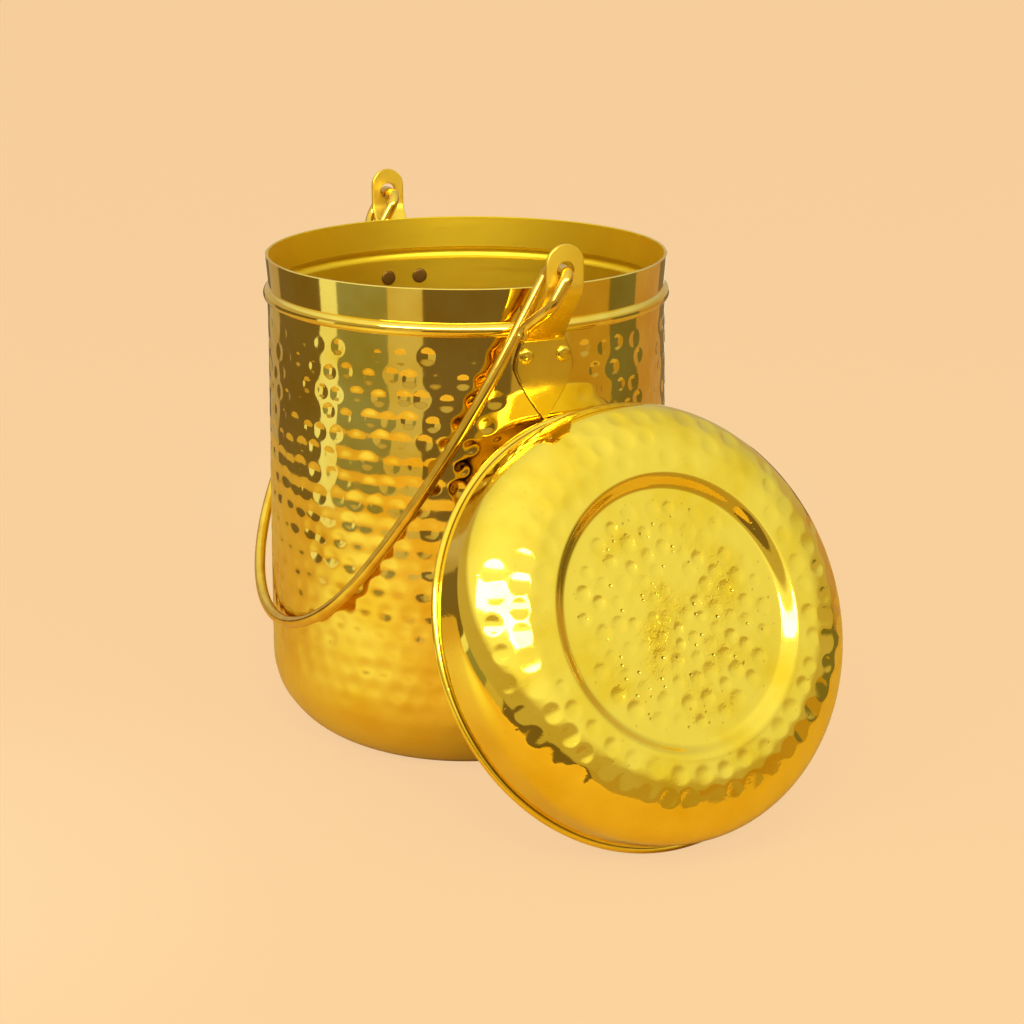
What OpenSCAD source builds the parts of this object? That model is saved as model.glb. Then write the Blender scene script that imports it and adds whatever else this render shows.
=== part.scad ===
// Hammered brass carrier: a one-bowl food pot with riveted ears, a wire bail and a lift-off lid.
// The pot stands on the floor with its axis on Z. The ears stand at -Y (front) and +Y (rear),
// the bail hangs on the -X side, and the lid leans on the wall beside the front ear.

/* [Pot] */
// Height of the pot's rim above the floor
pot_height = 172.6; // [150:0.1:200]
// Outside radius of the wall just under the bead
wall_radius = 70; // [60:0.1:80]
// Outside radius of the wall just above the base corner
belly_radius = 72.6; // [62:0.1:85]
// Rounding of the corner between base and wall
corner_radius = 27; // [15:0.5:40]
// Thickness of the beaten sheet
pot_sheet = 1; // [0.8:0.1:1.6]
// Height of the plain collar, from the middle of the bead to the rim
collar_height = 13.6; // [10:0.1:20]
// Outside radius of the collar where it leaves the bead
collar_radius = 69.4; // [59:0.1:79]
// Outside radius of the collar at the rim
rim_radius = 70.2; // [60:0.1:80]
// Radius of the round bead that the lid stops on
bead_round = 2.4; // [1.5:0.1:3]
// How far the bead stands out of the wall
bead_proud = 1.4; // [0.8:0.1:2]

/* [Ears] */
// Thickness of the ear strip
ear_sheet = 1.5; // [1:0.1:2.5]
// Width of the strip at the eye and the neck
ear_width = 12.5; // [10:0.1:16]
// Greatest width of the leaf that is riveted to the wall
leaf_width = 22; // [16:0.1:30]
// Height of the leaf below the lower bend
leaf_height = 26.2; // [20:0.1:36]
// Drop from the bead's middle to the lower bend
bend_drop = 4.5; // [3:0.1:7]
// Lean of the neck outward from upright, in degrees
neck_lean = 42; // [30:1:55]
// Inside radius of the lower bend's wall face
lower_bend = 4; // [3:0.1:6]
// Inside radius of the upper bend
upper_bend = 5; // [3:0.1:8]
// Radius of the round eye
eye_radius = 2.8; // [2.5:0.1:4]
// Rise of the eye's centre above the upper bend
eye_rise = 4.5; // [3.5:0.1:8]
// Metal left above the eye
eye_cover = 5.5; // [3.5:0.1:8]

/* [Rivets] */
// Radius of the rivet's shank
rivet_shank = 1.5; // [1:0.1:2]
// Radius of the low round head on the ear
rivet_head = 2.6; // [2:0.1:4]
// Height of the head
rivet_dome = 1; // [0.6:0.1:1.5]
// Radius of the flattened tail inside the pot
rivet_tail = 2.9; // [2:0.1:4]
// Thickness of the flattened tail
rivet_tail_depth = 0.8; // [0.5:0.1:1.5]
// Distance of each rivet from the ear's middle line
rivet_offset = 6.4; // [4:0.1:9]
// Drop from the lower bend to the rivets
rivet_drop = 4.2; // [3:0.1:10]
// Play of the shank in its hole
rivet_play = 0.05; // [0.02:0.01:0.2]

/* [Bail] */
// Thickness of the bail wire
wire = 4; // [3:0.1:5]
// Reach of the bail from its hinge line to the middle of its loop
bail_length = 152.6; // [130:0.1:200]
// Radius of the long curve on each side of the loop
side_curve = 205; // [150:1:300]
// Turn of that curve, in degrees
side_turn = 26; // [10:1:40]
// Room between each leg and the closed lid's rolled edge, or the bead where that is wider
leg_room = 1; // [0.5:0.1:4]
// Distance from a leg's outer side to its ear
hook_reach = 8.6; // [7:0.1:14]
// Bend of the wire where the leg turns out to the eye
hook_bend = 4.2; // [3:0.1:6]
// Bend of the wire where it turns down outside the ear
tail_bend = 3; // [2.5:0.1:5]
// Room between the tail and the ear
tail_room = 0.9; // [0.6:0.1:2]
// Straight length of the tail before it turns in to the leg
tail_drop = 6; // [4:0.1:12]
// Turn of the tail towards the leg, in degrees
tail_turn = 48; // [30:1:60]
// Radius of those two turns
tail_curve = 6; // [5:0.1:10]
// Gap between the tail's end and the leg
tail_gap = 0.3; // [0.1:0.1:1]
// Gap between the wire and the bottom of its eye
hook_seat = 0.35; // [0.3:0.01:0.6]
// Gap between the hanging loop and the pot's wall
bail_rest_gap = 0.35; // [0.3:0.01:1]

/* [Lid] */
// Outside height of the lid
lid_height = 29.6; // [24:0.1:40]
// Thickness of the lid's sheet
lid_sheet = 0.8; // [0.6:0.1:1.4]
// Room between the rim and the lid's skirt
lid_play = 0.35; // [0.2:0.05:1]
// Thickness of the rolled edge
lid_roll = 2.4; // [2:0.1:4]
// Rounding of the lid's shoulder
shoulder_radius = 15; // [8:0.5:16]
// Radius of the sunk disc in the top, at its upper edge
disc_radius = 43.7; // [30:0.1:50]
// Depth of the sunk disc
disc_depth = 3; // [1.5:0.1:5]
// Lean of the lid's axis above level, in degrees
lid_lean = 26.8; // [20:0.1:35]
// Turn of the lid round the pot from the front ear, in degrees
lid_turn = 10.2; // [9:0.1:20]
// Gap between the rolled edge and the wall it leans on
lid_rest_gap = 0.35; // [0.3:0.01:1]

/* [Hidden] */
$fn = 96;

bend_steps = 6;                 // straight pieces that stand for one bend of the ear strip
leaf_steps = 12;                // straight pieces along each side of the leaf
lap = 0.3;                      // straight wire reaches this far into a bend, so that the two join
lap_step = 0.03;                // and a bend is this much slimmer, so that its end lies inside
bead_z = pot_height - collar_height;
bead_centre = wall_radius + bead_proud - bead_round;

// Outside radius of the wall at a height between the base corner and the bead
function wall_at(z) =
    belly_radius + (wall_radius - belly_radius) * (z - corner_radius) / (bead_z - corner_radius);

// Lid: radii measured from the lid's own axis
skirt_inside = rim_radius + lid_play;
skirt_outside = skirt_inside + lid_sheet;
roll_radius = lid_roll / 2;
roll_centre = skirt_inside + roll_radius;
lid_radius = roll_centre + roll_radius;

// Bail: legs pass outside the closed lid and the bead, and the ears stand outside the legs
wire_radius = wire / 2;
bail_half = max(lid_radius, wall_radius + bead_proud) + leg_room + wire_radius;
plate_radius = bail_half + wire_radius + hook_reach;
tail_place = plate_radius + ear_sheet + tail_room + wire_radius;
loop_curve = (bail_half - side_curve * (1 - cos(side_turn))) / cos(side_turn);
leg_end = bail_length - side_curve * sin(side_turn) - loop_curve * (1 - sin(side_turn));
bail_rest = asin((belly_radius + wire_radius + bail_rest_gap) / bail_length);

// Ear: heights of the bends, the eye and the leaf
low_bend_z = bead_z - bend_drop;
neck_run = (plate_radius - wall_at(low_bend_z) - (lower_bend + upper_bend) * (1 - cos(neck_lean)))
    / sin(neck_lean);
high_bend_z = low_bend_z + (lower_bend + upper_bend) * sin(neck_lean) + neck_run * cos(neck_lean);
eye_z = high_bend_z + eye_rise;
hinge_z = eye_z - (eye_radius - wire_radius - hook_seat);
ear_top_z = eye_z + eye_radius + eye_cover;
leaf_tip_z = low_bend_z - leaf_height;
leaf_wide_z = low_bend_z - leaf_height / 3;
neck_z = bead_z + bead_round;
rivet_z = low_bend_z - rivet_drop;
rivet_turn = asin(rivet_offset / wall_at(rivet_z));

// Lid at rest: rolled edge on the floor below and against the wall above
lid_top_z = 2 * roll_centre * cos(lid_lean) + roll_radius;
lid_z = roll_centre * cos(lid_lean) + roll_radius - roll_radius * sin(lid_lean);
lid_out = wall_at(lid_top_z) + lid_rest_gap + roll_radius
    + roll_centre * sin(lid_lean) - roll_radius * cos(lid_lean);

// Half section of the pot, moved in by a thickness and carried on above the rim
module pot_section(inset, above) {
    translate([belly_radius - corner_radius, corner_radius]) circle(r = corner_radius - inset);
    translate([0, inset]) square([belly_radius - corner_radius, corner_radius - inset]);
    polygon([[0, corner_radius], [belly_radius - inset, corner_radius],
        [wall_radius - inset, bead_z], [0, bead_z]]);
    polygon([[0, bead_z], [collar_radius - inset, bead_z],
        [rim_radius - inset, pot_height], [rim_radius - inset, pot_height + above],
        [0, pot_height + above]]);
    translate([bead_centre, bead_z]) circle(r = bead_round - inset);
}

// Solid of the wall's cone near the rivets, grown or shrunk by an amount
module wall_cone(grow) {
    low = leaf_tip_z - 10;
    rotate_extrude() polygon([[0, low], [wall_at(low) + grow, low],
        [wall_at(bead_z) + grow, bead_z], [0, bead_z]]);
}

// Place children at one rivet of the front ear, with Z pointing out of the wall
module at_rivet(side) {
    rotate([0, 0, side * rivet_turn]) translate([0, -wall_at(rivet_z), rivet_z])
        rotate([90, 0, 0]) children();
}

module rivet_hole(side) {
    at_rivet(side) translate([0, 0, -4 * pot_sheet])
        cylinder(r = rivet_shank + rivet_play, h = 4 * pot_sheet + 3 * ear_sheet);
}

module pot_body() {
    color("#c9981f") difference() {
        rotate_extrude() difference() {
            pot_section(0, 0);
            pot_section(pot_sheet, 1);
        }
        for (half = [0, 180], side = [-1, 1]) rotate([0, 0, half]) rivet_hole(side);
    }
}

// Side view of the ear strip: flat on the wall, leaning out over the bead, then upright
module ear_section() {
    foot = wall_at(low_bend_z);
    tip = wall_at(leaf_tip_z);
    low = [foot + lower_bend, low_bend_z];
    lean = [sin(neck_lean), cos(neck_lean)];
    across = [cos(neck_lean), -sin(neck_lean)];
    neck_end = low - lower_bend * across + neck_run * lean;
    high = neck_end - upper_bend * across;
    turns = [for (i = [0 : bend_steps]) neck_lean * i / bend_steps];
    back = [for (i = [bend_steps : -1 : 0]) neck_lean * i / bend_steps];
    inner = concat(
        [[tip, leaf_tip_z]],
        [for (a = turns) low + lower_bend * [-cos(a), sin(a)]],
        [for (a = back) high + upper_bend * [cos(a), -sin(a)]],
        [[plate_radius, ear_top_z]]);
    outer = concat(
        [[plate_radius + ear_sheet, ear_top_z]],
        [for (a = turns) high + (upper_bend + ear_sheet) * [cos(a), -sin(a)]],
        [for (a = back) low + (lower_bend - ear_sheet) * [-cos(a), sin(a)]],
        [[tip + ear_sheet, leaf_tip_z]]);
    polygon(concat(inner, outer));
}

// Front view of the ear: pointed leaf, concave shoulders, straight neck and round top
module ear_outline() {
    half = ear_width / 2;
    wide = leaf_width / 2;
    leaf = [for (i = [0 : leaf_steps]) let (t = i / leaf_steps)
        [wide * sin(90 * t), leaf_tip_z + (leaf_wide_z - leaf_tip_z) * t]];
    shoulder = [for (i = [1 : leaf_steps]) let (t = i / leaf_steps)
        [half + (wide - half) * (1 + cos(180 * t)) / 2, leaf_wide_z + (neck_z - leaf_wide_z) * t]];
    right = concat(leaf, shoulder, [[half, ear_top_z - half]]);
    polygon(concat(right, [for (i = [len(right) - 1 : -1 : 1]) [-right[i][0], right[i][1]]]));
    translate([0, ear_top_z - half]) circle(r = half);
}

module ear() {
    outside = plate_radius + 2 * ear_sheet;
    color("#d3a428") difference() {
        intersection() {
            rotate([0, 0, -115]) rotate_extrude(angle = 50) ear_section();
            rotate([90, 0, 0]) linear_extrude(height = outside) ear_outline();
        }
        translate([0, 0, eye_z]) rotate([90, 0, 0]) cylinder(r = eye_radius, h = outside);
        for (side = [-1, 1]) rivet_hole(side);
    }
}

module front_ear() { ear(); }
module rear_ear() { rotate([0, 0, 180]) ear(); }

// One rivet of the front ear: low domed head on the leaf, shank, flattened tail inside the pot
module rivet(side) {
    dome = (rivet_head * rivet_head + rivet_dome * rivet_dome) / (2 * rivet_dome);
    color("#e0b540") {
        difference() {
            at_rivet(side) translate([0, 0, ear_sheet + rivet_dome - dome]) sphere(r = dome);
            wall_cone(ear_sheet);
        }
        at_rivet(side) translate([0, 0, -pot_sheet - rivet_tail_depth / 2])
            cylinder(r = rivet_shank, h = pot_sheet + ear_sheet + (rivet_tail_depth + rivet_dome) / 2);
        intersection() {
            at_rivet(side) translate([0, 0, -pot_sheet - rivet_tail_depth])
                cylinder(r = rivet_tail, h = rivet_tail_depth + pot_sheet);
            wall_cone(-pot_sheet);
        }
    }
}

module front_left_rivet() { rivet(-1); }
module front_right_rivet() { rivet(1); }
module rear_left_rivet() { rotate([0, 0, 180]) rivet(1); }
module rear_right_rivet() { rotate([0, 0, 180]) rivet(-1); }

// Bent wire, from one angle to another round a centre
module wire_arc(centre, radius, from, to) {
    translate(centre) rotate([0, 0, from]) rotate_extrude(angle = to - from)
        translate([radius, 0]) circle(r = wire_radius - lap_step);
}

// Straight wire between two points, lapped at both ends
module wire_run(a, b) {
    d = b - a;
    translate(a) rotate([0, 0, atan2(d[1], d[0])]) rotate([0, 90, 0])
        translate([0, 0, -lap]) cylinder(r = wire_radius, h = norm(d) + 2 * lap);
}

// One leg, laid flat: X across from the middle, Y along the leg from the hinge line
module bail_leg() {
    inward = [-sin(tail_turn), cos(tail_turn)];
    outward = [cos(tail_turn), sin(tail_turn)];
    tail_turn_centre = [tail_place - tail_curve, tail_bend + tail_drop];
    tail_run = tail_turn_centre + tail_curve * outward;
    last_place = bail_half + wire + tail_gap;
    slant = (tail_run[0] - last_place - tail_curve * (1 - cos(tail_turn))) / sin(tail_turn);
    tail_end = tail_run + slant * inward;
    last_centre = tail_end + tail_curve * outward;
    wire_arc([bail_half - side_curve, leg_end], side_curve, 0, side_turn);
    wire_run([bail_half, leg_end], [bail_half, hook_bend]);
    wire_arc([bail_half + hook_bend, hook_bend], hook_bend, 180, 270);
    wire_run([bail_half + hook_bend, 0], [tail_place - tail_bend, 0]);
    wire_arc([tail_place - tail_bend, tail_bend], tail_bend, 270, 360);
    wire_run([tail_place, tail_bend], [tail_place, tail_bend + tail_drop]);
    wire_arc(tail_turn_centre, tail_curve, 0, tail_turn);
    wire_run(tail_run, tail_end);
    wire_arc(last_centre, tail_curve, 180, 180 + tail_turn);
    last = last_centre - [tail_curve, 0];
    wire_run(last, last + [0, wire_radius / 2]);
    joint = [bail_half - side_curve, leg_end] + side_curve * [cos(side_turn), sin(side_turn)];
    wire_run(joint, joint + lap * [-sin(side_turn), cos(side_turn)]);
}

module bail_handle() {
    color("#e3bd4c") translate([0, 0, hinge_z]) rotate([0, bail_rest - 90, 0]) rotate([0, 0, 90]) {
        bail_leg();
        mirror([1, 0, 0]) bail_leg();
        wire_arc([0, bail_length - loop_curve], loop_curve, side_turn, 180 - side_turn);
    }
}

// Half section of the lid, open end at zero height, moved in by a thickness
module lid_section(inset, below) {
    flat = skirt_outside - shoulder_radius;
    skirt = lid_height - shoulder_radius;
    bevel = inset * tan(22.5);
    difference() {
        union() {
            translate([0, -below]) square([skirt_outside - inset, skirt + below]);
            translate([flat, skirt]) circle(r = shoulder_radius - inset);
            square([flat, lid_height - inset]);
        }
        polygon([[0, lid_height - disc_depth - inset],
            [disc_radius - disc_depth + bevel, lid_height - disc_depth - inset],
            [disc_radius + bevel, lid_height - inset],
            [disc_radius + bevel, lid_height + 1], [0, lid_height + 1]]);
    }
}

module lid() {
    color("#e8cf3a") rotate([0, 0, lid_turn]) translate([0, -lid_out, lid_z])
        rotate([90 - lid_lean, 0, 0]) rotate_extrude() {
            difference() {
                lid_section(0, 0);
                lid_section(lid_sheet, 1);
            }
            translate([roll_centre, roll_radius]) circle(r = roll_radius);
        }
}

echo(hinge_z = hinge_z, bail_half = bail_half, bail_rest = bail_rest, plate_radius = plate_radius);
echo(lid_out = lid_out, lid_z = lid_z, lid_top_z = lid_top_z, ear_top_z = ear_top_z, high_bend_z = high_bend_z);

pot_body();
front_ear();
rear_ear();
front_left_rivet();
front_right_rivet();
rear_left_rivet();
rear_right_rivet();
bail_handle();
lid();
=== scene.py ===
import math
import random
import bpy
from mathutils import Matrix, Vector, noise
from mathutils.kdtree import KDTree


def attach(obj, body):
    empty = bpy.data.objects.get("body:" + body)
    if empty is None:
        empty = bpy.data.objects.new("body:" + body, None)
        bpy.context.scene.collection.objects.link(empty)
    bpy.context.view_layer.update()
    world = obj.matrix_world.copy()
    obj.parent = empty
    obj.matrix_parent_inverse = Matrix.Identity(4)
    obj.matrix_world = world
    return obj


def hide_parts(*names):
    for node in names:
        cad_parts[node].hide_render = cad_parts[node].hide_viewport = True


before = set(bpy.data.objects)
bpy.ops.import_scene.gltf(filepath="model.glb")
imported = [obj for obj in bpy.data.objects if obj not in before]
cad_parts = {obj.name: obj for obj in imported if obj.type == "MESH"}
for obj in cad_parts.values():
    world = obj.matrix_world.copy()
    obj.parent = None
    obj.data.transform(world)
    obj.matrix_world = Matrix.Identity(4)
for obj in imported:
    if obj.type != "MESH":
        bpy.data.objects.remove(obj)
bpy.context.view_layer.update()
scene = bpy.context.scene
scene.view_settings.view_transform = "Standard"
mm = 0.001
print("frame loaded:", ", ".join(sorted(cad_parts)))


# small helpers
def hexToLinear(code):
    values = [int(code[i:i + 2], 16) / 255 for i in (1, 3, 5)]
    return [v / 12.92 if v <= 0.04045 else ((v + 0.055) / 1.055) ** 2.4 for v in values] + [1.0]


# adds a node; a Mix of colours takes its share at 0 and its colours at 6 and 7, and gives the result at 2
def addNode(tree, kind, inputs=None, **settings):
    node = tree.nodes.new(kind)
    for name, value in settings.items():
        setattr(node, name, value)
    for name, value in (inputs or {}).items():
        if isinstance(value, bpy.types.NodeSocket):
            tree.links.new(value, node.inputs[name])
        else:
            node.inputs[name].default_value = value
    return node


def deselectAll():
    if bpy.context.object and bpy.context.object.mode != "OBJECT":
        bpy.ops.object.mode_set(mode="OBJECT")
    bpy.ops.object.select_all(action="DESELECT")


def pick(piece):
    deselectAll()
    piece.select_set(True)
    bpy.context.view_layer.objects.active = piece


def applyModifiers(piece):
    pick(piece)
    for modifier in list(piece.modifiers):
        bpy.ops.object.modifier_apply(modifier=modifier.name)


# a chain of edges drawn from one vertex, point to point in millimetres, left in edit mode
def drawChain(name, points):
    deselectAll()
    bpy.ops.mesh.primitive_plane_add(size=0.001)
    piece = bpy.context.object
    piece.name = name
    piece.data.name = name
    bpy.ops.object.mode_set(mode="EDIT")
    bpy.ops.mesh.select_all(action="SELECT")
    bpy.ops.mesh.merge(type="CENTER")
    places = [Vector(p) * mm for p in points]
    bpy.ops.transform.translate(value=places[0])
    for before, after in zip(places, places[1:]):
        bpy.ops.mesh.extrude_vertices_move(TRANSFORM_OT_translate={"value": after - before})
    return piece


# a half section given as (radius, height) pairs, spun round Z into a skin
def spinSection(name, section, steps, turn=360):
    piece = drawChain(name, [(r, 0, z) for r, z in section])
    bpy.ops.object.mode_set(mode="OBJECT")
    turning = piece.modifiers.new("turn", "SCREW")
    turning.steps = turning.render_steps = steps
    turning.angle = math.radians(turn)
    turning.use_merge_vertices = True
    turning.merge_threshold = 0.00001
    applyModifiers(piece)
    bpy.ops.object.mode_set(mode="EDIT")
    bpy.ops.mesh.select_all(action="SELECT")
    bpy.ops.mesh.remove_doubles(threshold=0.00001)
    bpy.ops.mesh.normals_make_consistent(inside=False)
    bpy.ops.object.mode_set(mode="OBJECT")
    return piece


# points between corners of a section, no further apart than the step
def fillLine(start, end, step):
    count = max(1, math.ceil(math.dist(start, end) / step))
    return [tuple(a + (b - a) * i / count for a, b in zip(start, end)) for i in range(1, count + 1)]


def pointOnArc(centre, radius, degrees):
    angle = math.radians(degrees)
    return (centre[0] + radius * math.cos(angle), centre[1] + radius * math.sin(angle))


def fillArc(centre, radius, start, end, step):
    count = max(2, math.ceil(abs(math.radians(end - start)) * radius / step))
    return [pointOnArc(centre, radius, start + (end - start) * i / count) for i in range(1, count + 1)]


# hammer blows: each one sinks the skin round its place and the deepest blow wins; uneven says how far
# the beaten sheet between them sinks, and skinOnly which points belong to the beaten face
def hammer(piece, blows, skinOnly, uneven):
    points = piece.data.vertices
    tree = KDTree(len(points))
    for vertex in points:
        tree.insert(vertex.co, vertex.index)
    tree.balance()
    sink = {}
    for place, radius, depth in blows:
        for spot, index, distance in tree.find_range(Vector(place) * mm, radius * mm):
            share = 1 - (distance / (radius * mm)) ** 2
            sink[index] = max(sink.get(index, 0), depth * share)
    beaten = {}
    for vertex in points:
        co = vertex.co / mm
        beaten[vertex.index] = skinOnly(co) * (sink.get(vertex.index, 0) + uneven(co))
    deepest = max(beaten.values())
    group = piece.vertex_groups.new(name="blows")
    for index, depth in beaten.items():
        if depth > 0:
            group.add([index], depth / deepest, "REPLACE")
    sinking = piece.modifiers.new("blows", "DISPLACE")
    sinking.vertex_group = "blows"
    sinking.mid_level = 0
    sinking.strength = -deepest * mm
    applyModifiers(piece)
    piece.vertex_groups.clear()
    print(piece.name, "hammered with", len(blows), "blows")


# camera
photoCamera = {
    "place": (-245.1, -655.7, 300.72),  # mm, from the pot's axis at floor level
    "turn": 20.5,                       # degrees that the front ear stands to the right of the view
    "pitch": 0.311,                     # radians down
    "yaw": 0.0227,                      # radians to the right
    "lens": 70.72,
}


def makeCamera(given):
    aim = Vector((math.sin(given["yaw"]) * math.cos(given["pitch"]),
                  math.cos(given["yaw"]) * math.cos(given["pitch"]), -math.sin(given["pitch"])))
    aim = Matrix.Rotation(-math.radians(given["turn"]), 3, "Z") @ aim
    deselectAll()
    bpy.ops.object.camera_add(location=Vector(given["place"]) * mm)
    camera = bpy.context.object
    camera.name = "photoCamera"
    camera.rotation_euler = aim.to_track_quat("-Z", "Y").to_euler()
    camera.data.sensor_width = 36
    camera.data.lens = given["lens"]
    camera.data.clip_start = 0.02
    scene.camera = camera
    print("camera set")


makeCamera(photoCamera)

# materials
brassLook = {
    "gold": "#EFD45C",       # clean brass under white light
    "tarnish": "#E6BE34",    # warmer where it has been handled
    "lidGold": "#F3D648", "lidTarnish": "#EBC72C", "pit": "#5E4410",
    "satin": "#ECD032", "satinDull": "#E0BA24",
    "strip": "#F0D248", "stripDull": "#E2B92C",
    # the last colour on the next line is painted shade for the leaf's edge and the lid's crease, and the dark
    # brown of the rivets' tails
    "wire": "#ECC84A", "wireDull": "#DCAE38", "darkBrown": "#80591A",
}


def newMaterial(name):
    material = bpy.data.materials.new(name)
    material.use_nodes = True
    material.node_tree.nodes.clear()
    return material, material.node_tree


# Polished sheet brass, hammered: mirror bright with soft cloudy tarnish some 20 mm across,
# a fine buffed haze, and a duller gleam low down where the buff reached less.
def makeHammeredBrass():
    material, tree = newMaterial("hammeredBrass")
    place = addNode(tree, "ShaderNodeTexCoord").outputs["Object"]
    clouds = addNode(tree, "ShaderNodeTexNoise", {"Vector": place, "Scale": 50.0, "Detail": 4.0})
    shade = addNode(tree, "ShaderNodeMapRange", {
        "Value": clouds.outputs[0], "From Min": 0.42, "From Max": 0.72})
    colour = addNode(tree, "ShaderNodeMix", {
        0: shade.outputs[0], 6: hexToLinear(brassLook["gold"]), 7: hexToLinear(brassLook["tarnish"])},
        data_type="RGBA")
    height = addNode(tree, "ShaderNodeSeparateXYZ", {0: place}).outputs["Z"]
    dull = addNode(tree, "ShaderNodeMapRange", {
        "Value": height, "From Min": 0.02, "From Max": 0.12, "To Min": 0.16, "To Max": 0.045})
    grain = addNode(tree, "ShaderNodeTexNoise", {"Vector": place, "Scale": 700.0, "Detail": 3.0})
    gleam = addNode(tree, "ShaderNodeMath", {0: grain.outputs[0], 1: 0.05, 2: dull.outputs[0]},
                    operation="MULTIPLY_ADD")
    bump = addNode(tree, "ShaderNodeBump", {
        "Height": grain.outputs[0], "Strength": 0.02, "Distance": 0.0002})
    shader = addNode(tree, "ShaderNodeBsdfPrincipled", {
        "Base Color": colour.outputs[2], "Metallic": 1.0, "Roughness": gleam.outputs[0],
        "Normal": bump.outputs[0]})
    addNode(tree, "ShaderNodeOutputMaterial", {"Surface": shader.outputs[0]})
    return material


# Brass sheet scoured inside the pot: satin, with faint lines about a millimetre apart round the wall
# from the scouring pad.
def makeScouredBrass():
    material, tree = newMaterial("scouredBrass")
    place = addNode(tree, "ShaderNodeTexCoord").outputs["Object"]
    rings = addNode(tree, "ShaderNodeMapping", {"Vector": place, "Scale": (30.0, 30.0, 900.0)})
    lines = addNode(tree, "ShaderNodeTexNoise", {"Vector": rings.outputs[0], "Scale": 1.0, "Detail": 3.0})
    clouds = addNode(tree, "ShaderNodeTexNoise", {"Vector": place, "Scale": 35.0, "Detail": 3.0})
    colour = addNode(tree, "ShaderNodeMix", {
        0: clouds.outputs[0], 6: hexToLinear(brassLook["satin"]), 7: hexToLinear(brassLook["satinDull"])},
        data_type="RGBA")
    gleam = addNode(tree, "ShaderNodeMapRange", {"Value": lines.outputs[0], "To Min": 0.36, "To Max": 0.48})
    bump = addNode(tree, "ShaderNodeBump", {
        "Height": lines.outputs[0], "Strength": 0.012, "Distance": 0.0002})
    shader = addNode(tree, "ShaderNodeBsdfPrincipled", {
        "Base Color": colour.outputs[2], "Metallic": 1.0, "Roughness": gleam.outputs[0],
        "Normal": bump.outputs[0]})
    addNode(tree, "ShaderNodeOutputMaterial", {"Surface": shader.outputs[0]})
    return material


# Cut brass strip, polished by hand: clear reflections on the leaf and the rivets, duller above the bead
# where the strip is handled, and fine lines along it, under a millimetre wide.
def makeStripBrass():
    material, tree = newMaterial("stripBrass")
    place = addNode(tree, "ShaderNodeTexCoord").outputs["Object"]
    along = addNode(tree, "ShaderNodeMapping", {"Vector": place, "Scale": (1500.0, 1500.0, 120.0)})
    lines = addNode(tree, "ShaderNodeTexNoise", {"Vector": along.outputs[0], "Scale": 1.0, "Detail": 3.0})
    clouds = addNode(tree, "ShaderNodeTexNoise", {"Vector": place, "Scale": 150.0, "Detail": 3.0})
    colour = addNode(tree, "ShaderNodeMix", {
        0: clouds.outputs[0], 6: hexToLinear(brassLook["strip"]), 7: hexToLinear(brassLook["stripDull"])},
        data_type="RGBA")
    height = addNode(tree, "ShaderNodeSeparateXYZ", {0: place}).outputs["Z"]
    dull = addNode(tree, "ShaderNodeMapRange", {
        "Value": height, "From Min": 0.158, "From Max": 0.176, "To Min": 0.13, "To Max": 0.4})
    gleam = addNode(tree, "ShaderNodeMath", {0: lines.outputs[0], 1: 0.1, 2: dull.outputs[0]},
                    operation="MULTIPLY_ADD")
    bump = addNode(tree, "ShaderNodeBump", {
        "Height": lines.outputs[0], "Strength": 0.02, "Distance": 0.0002})
    shader = addNode(tree, "ShaderNodeBsdfPrincipled", {
        "Base Color": colour.outputs[2], "Metallic": 1.0, "Roughness": gleam.outputs[0],
        "Normal": bump.outputs[0]})
    addNode(tree, "ShaderNodeOutputMaterial", {"Surface": shader.outputs[0]})
    return material


# Dark brown and dull, speckled: painted shade along the leaf's cut edge, where it meets the wall, and in the
# crease above the lid's roll; also the dark brown of the rivets' tails.
def makeShadeAndTailBrown():
    material, tree = newMaterial("shadeAndTailBrown")
    place = addNode(tree, "ShaderNodeTexCoord").outputs["Object"]
    speckle = addNode(tree, "ShaderNodeTexNoise", {"Vector": place, "Scale": 600.0, "Detail": 3.0})
    colour = addNode(tree, "ShaderNodeMix", {
        0: speckle.outputs[0], 6: hexToLinear(brassLook["darkBrown"]), 7: hexToLinear(brassLook["pit"])},
        data_type="RGBA")
    shader = addNode(tree, "ShaderNodeBsdfPrincipled", {
        "Base Color": colour.outputs[2], "Metallic": 0.85, "Roughness": 0.45})
    addNode(tree, "ShaderNodeOutputMaterial", {"Surface": shader.outputs[0]})
    return material


# Drawn brass wire, rubbed bright by hands: a clear long gleam and darker patches a few mm long.
def makeWireBrass():
    material, tree = newMaterial("wireBrass")
    place = addNode(tree, "ShaderNodeTexCoord").outputs["Object"]
    patches = addNode(tree, "ShaderNodeTexNoise", {"Vector": place, "Scale": 180.0, "Detail": 3.0})
    shade = addNode(tree, "ShaderNodeMapRange", {
        "Value": patches.outputs[0], "From Min": 0.35, "From Max": 0.7})
    colour = addNode(tree, "ShaderNodeMix", {
        0: shade.outputs[0], 6: hexToLinear(brassLook["wire"]), 7: hexToLinear(brassLook["wireDull"])},
        data_type="RGBA")
    gleam = addNode(tree, "ShaderNodeMapRange", {
        "Value": patches.outputs[0], "To Min": 0.04, "To Max": 0.12})
    shader = addNode(tree, "ShaderNodeBsdfPrincipled", {
        "Base Color": colour.outputs[2], "Metallic": 1.0, "Roughness": gleam.outputs[0]})
    addNode(tree, "ShaderNodeOutputMaterial", {"Surface": shader.outputs[0]})
    return material


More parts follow.
